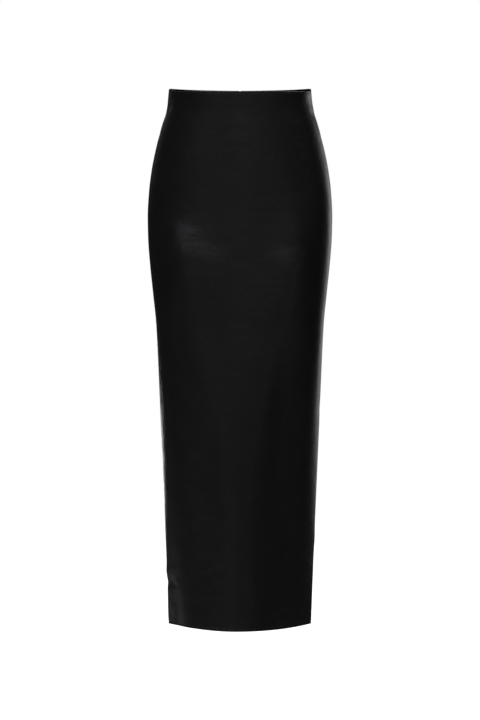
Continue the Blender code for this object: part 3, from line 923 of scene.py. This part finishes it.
# Metal stop round both coils at the foot: a rounded barrel, whose shape is its place down
# the barrel and its share of the radius there.
stop = {"height": 0.0040, "radius": 0.0017, "sides": 20, "overCoils": 0.35}
stopShape = np.array(((0.0, 0.0), (0.02, 0.55), (0.10, 0.88), (0.25, 1.0), (0.75, 1.0), (0.90, 0.88),
                      (0.98, 0.55), (1.0, 0.0)))
stopHeights = panelCloth["zipFoot"] + coil["offFoot"] + stop["height"] * (stop["overCoils"] - stopShape[:, 0])
stopDepth = tapeFace + coil["halfDepth"] + coil["radius"]
stopBack = clothPoint("back", np.zeros(len(stopHeights)), stopHeights, stopDepth)[:, 1]
stopPath = np.stack((0 * stopHeights, stopBack, stopHeights), axis=-1)[None]
stopPiece = tubes("zipStop", stopPath, np.tile((0.0, 1.0, 0.0), (1, len(stopHeights), 1)),
                  stop["radius"] * stopShape[:, 1], stop["sides"], enamel)
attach(stopPiece, "skirt")


# Pull tab: a flat drop with a slot at its top and a shallow hollow for the thumb.
pull = {
    "topRadius": 0.0023,
    "footRadius": 0.0030,
    "slotHalfWidth": 0.0010,
    "slotHeight": 0.0027,
    "bar": 0.0010,
    "edge": 0.00045,
    "around": 72,
    "roundSteps": (0, 25, 50, 72, 90),
    "roundAtMost": 0.46,
    "flatSteps": 9,
    "hollow": 0.00018,
    "hollowReach": (0.0019, 0.0052),
    "hollowPlace": 0.0155,
}


# A drop in the XZ plane: a half circle at the top and one at the foot.
def dropOutline(topRadius, footRadius, top, foot, count):
    turn = np.linspace(0, math.pi, count // 2)
    upper = (topRadius * np.cos(turn), top - topRadius + topRadius * np.sin(turn))
    lower = (-footRadius * np.cos(turn), foot + footRadius - footRadius * np.sin(turn))
    return np.concatenate((np.stack(upper, axis=-1), np.stack(lower, axis=-1)))


# A ring-shaped grid from the slot's outline out to the drop's, round at both, front and back.
def pullPiece(name):
    p = pull
    low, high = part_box("zip_pull")
    top, foot = high[2], low[2]
    slotTop = top - p["bar"]
    slotFoot = slotTop - p["slotHeight"]
    outer = dropOutline(p["topRadius"], p["footRadius"], top, foot, p["around"])
    inner = dropOutline(p["slotHalfWidth"], p["slotHalfWidth"], slotTop, slotFoot, p["around"])
    width = np.linalg.norm(outer - inner, axis=1)[:, None]
    turn = np.radians(p["roundSteps"])
    rounding = np.minimum(p["edge"], p["roundAtMost"] * width) * (1 - np.cos(turn))
    middle = np.linspace(0, 1, p["flatSteps"])[1:-1]
    flat = rounding[:, -1:] + (width - 2 * rounding[:, -1:]) * middle
    across = np.concatenate((rounding, flat, width - rounding[:, ::-1]), axis=1) / width
    lift = np.concatenate((np.sin(turn), np.ones(len(middle)), np.sin(turn)[::-1]))
    xz = inner[:, None] + (outer - inner)[:, None] * across[..., None]
    reachX, reachZ = p["hollowReach"]
    fromHollow = xz[..., 1] - top + p["hollowPlace"]
    hollow = p["hollow"] * np.exp(-(xz[..., 0] / reachX) ** 2 - (fromHollow / reachZ) ** 2)
    rise = lift * ((high[1] - low[1]) / 2 - hollow)
    centre = (high[1] + low[1]) / 2
    front = np.stack((xz[..., 0], centre - rise, xz[..., 1]), axis=-1)
    back = np.stack((xz[..., 0], centre + rise, xz[..., 1]), axis=-1)[:, -2:0:-1]
    ring = np.concatenate((front, back), axis=1)
    index = np.arange(ring.shape[0] * ring.shape[1]).reshape(ring.shape[:2])
    nextAcross, nextAround = np.roll(index, -1, axis=1), np.roll(index, -1, axis=0)
    faces = np.stack((index, nextAcross, np.roll(nextAround, -1, axis=1), nextAround), axis=-1)
    return meshPiece(name, ring.reshape(-1, 3), faces.reshape(-1, 4).tolist(), (enamel,))


tab = pullPiece("zipPull")
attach(tab, "zip_pull")
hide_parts("zip_pull")
slider = bpy.data.objects["zip_slider"]
slider.data.materials.clear()
slider.data.materials.append(enamel)
print("zip made")


# Studio: white round the skirt, a plain floor below it, and softboxes round the aim.
studio = {
    "floorHeight": -1.030,
    "floorHalf": 30.0,
    "white": (1.0, 1.0, 1.0),
    "floorGrey": (0.80, 0.80, 0.80),
    "floorRoughness": 0.6,
    "roomGlow": 0.020,
    "aim": (0.0, 0.0, -0.45),
    "tints": {"keyLeft": (0.84, 0.86, 1.0)},
}

# Azimuth 0 is behind the camera, and positive is to the camera's right.
lightColumns = ("name", "azimuth", "elevation", "distance", "width", "height", "power")
lights = (
    ("frontHigh", 12.0, 54.0, 3.2, 1.6, 1.0, 16.8),
    ("frontHighSide", -26.0, 58.0, 3.0, 1.2, 1.0, 8.7),
    ("frontLow", -14.0, -56.0, 3.0, 2.4, 0.9, 30.0),
    ("frontMid", 4.0, 16.0, 3.0, 1.2, 1.2, 0.9),
    ("fillLeft", -26.0, 6.0, 3.0, 0.8, 0.6, 0.57),
    ("fillRight", 34.0, 6.0, 3.0, 0.6, 0.6, 0.66),
    ("keyLeft", -42.0, 36.0, 3.0, 0.5, 0.4, 1.75),
    ("wideRight", 74.0, 42.0, 3.0, 0.9, 0.9, 1.8),
    ("highLeft", -86.0, 72.0, 3.0, 1.0, 1.0, 10.8),
    ("sideLeft", -74.0, -42.0, 3.0, 0.9, 0.9, 7.5),
    ("lowRight", 90.0, -36.0, 3.0, 0.9, 0.9, 2.1),
    ("rimRight", 139.0, 12.0, 3.0, 0.6, 0.9, 5.2),
    ("backRight", 150.0, -2.0, 3.0, 0.7, 0.9, 2.9),
    ("backLeft", -142.0, 24.0, 3.0, 0.7, 0.9, 0.48),
    ("lowLeft", -130.0, -22.0, 3.0, 1.4, 0.8, 0.54),
    ("rimLeft", -155.0, -12.5, 1.4, 0.2, 0.2, 1.7),
    ("hemLeft", -125.0, -42.0, 0.86, 0.12, 0.12, 0.018),
    ("behindHigh", 168.0, 52.0, 3.0, 1.5, 1.0, 14.0),
    ("behindLow", -172.0, -54.0, 3.0, 2.0, 0.9, 16.0),
)


# A softbox at an azimuth and elevation on a sphere round the aim, facing it.
def softbox(name, azimuth, elevation, distance, width, height, power):
    data = bpy.data.lights.new(name, "AREA")
    data.shape = "RECTANGLE"
    data.size, data.size_y = width, height
    data.energy = power
    data.color = studio["tints"].get(name, studio["white"])
    lamp = bpy.data.objects.new(name, data)
    a, e = math.radians(azimuth), math.radians(elevation)
    towards = np.array((math.sin(a) * math.cos(e), -math.cos(a) * math.cos(e), math.sin(e)))
    lamp.location = np.array(studio["aim"]) + distance * towards
    lamp.rotation_euler = (math.pi / 2 - e, 0.0, a)
    lamp.visible_camera = False
    bpy.context.scene.collection.objects.link(lamp)


for row in lights:
    softbox(**dict(zip(lightColumns, row)))


# Even white where the camera looks past the skirt, and a dim room for its reflections.
def studioWorld():
    world = bpy.data.worlds.new("whiteStudio")
    world.use_nodes = True
    tree = world.node_tree
    room = tree.nodes["Background"]
    room.inputs["Color"].default_value = (*studio["white"], 1.0)
    room.inputs["Strength"].default_value = studio["roomGlow"]
    sweep = tree.nodes.new("ShaderNodeBackground")
    sweep.inputs["Color"].default_value = (*studio["white"], 1.0)
    seen = tree.nodes.new("ShaderNodeLightPath")
    both = tree.nodes.new("ShaderNodeMixShader")
    tree.links.new(seen.outputs["Is Camera Ray"], both.inputs["Fac"])
    tree.links.new(room.outputs["Background"], both.inputs[1])
    tree.links.new(sweep.outputs["Background"], both.inputs[2])
    tree.links.new(both.outputs["Shader"], tree.nodes["World Output"].inputs["Surface"])
    bpy.context.scene.world = world


# Plain pale floor: white to the camera from above, clear from below and to the lamps.
def studioFloor():
    h, z = studio["floorHalf"], studio["floorHeight"]
    mesh = bpy.data.meshes.new("studioFloor")
    mesh.from_pydata([(-h, -h, z), (h, -h, z), (h, h, z), (-h, h, z)], [], [(0, 1, 2, 3)])
    material, tree, shader = newMaterial("paleFloor", studio["floorGrey"], studio["floorRoughness"])
    shader.inputs["Emission Color"].default_value = (*studio["white"], 1.0)
    seen = tree.nodes.new("ShaderNodeLightPath")
    tree.links.new(seen.outputs["Is Camera Ray"], shader.inputs["Emission Strength"])
    clear = tree.nodes.new("ShaderNodeBsdfTransparent")
    facing = tree.nodes.new("ShaderNodeNewGeometry")
    both = tree.nodes.new("ShaderNodeMixShader")
    tree.links.new(facing.outputs["Backfacing"], both.inputs["Fac"])
    tree.links.new(shader.outputs["BSDF"], both.inputs[1])
    tree.links.new(clear.outputs["BSDF"], both.inputs[2])
    tree.links.new(both.outputs["Shader"], tree.nodes["Material Output"].inputs["Surface"])
    mesh.materials.append(material)
    floor = bpy.data.objects.new("studioFloor", mesh)
    floor.visible_diffuse = floor.visible_glossy = floor.visible_transmission = False
    floor.visible_shadow = False
    bpy.context.scene.collection.objects.link(floor)


studioWorld()
studioFloor()
bpy.context.scene.view_settings.view_transform = "Standard"
print("studio made")
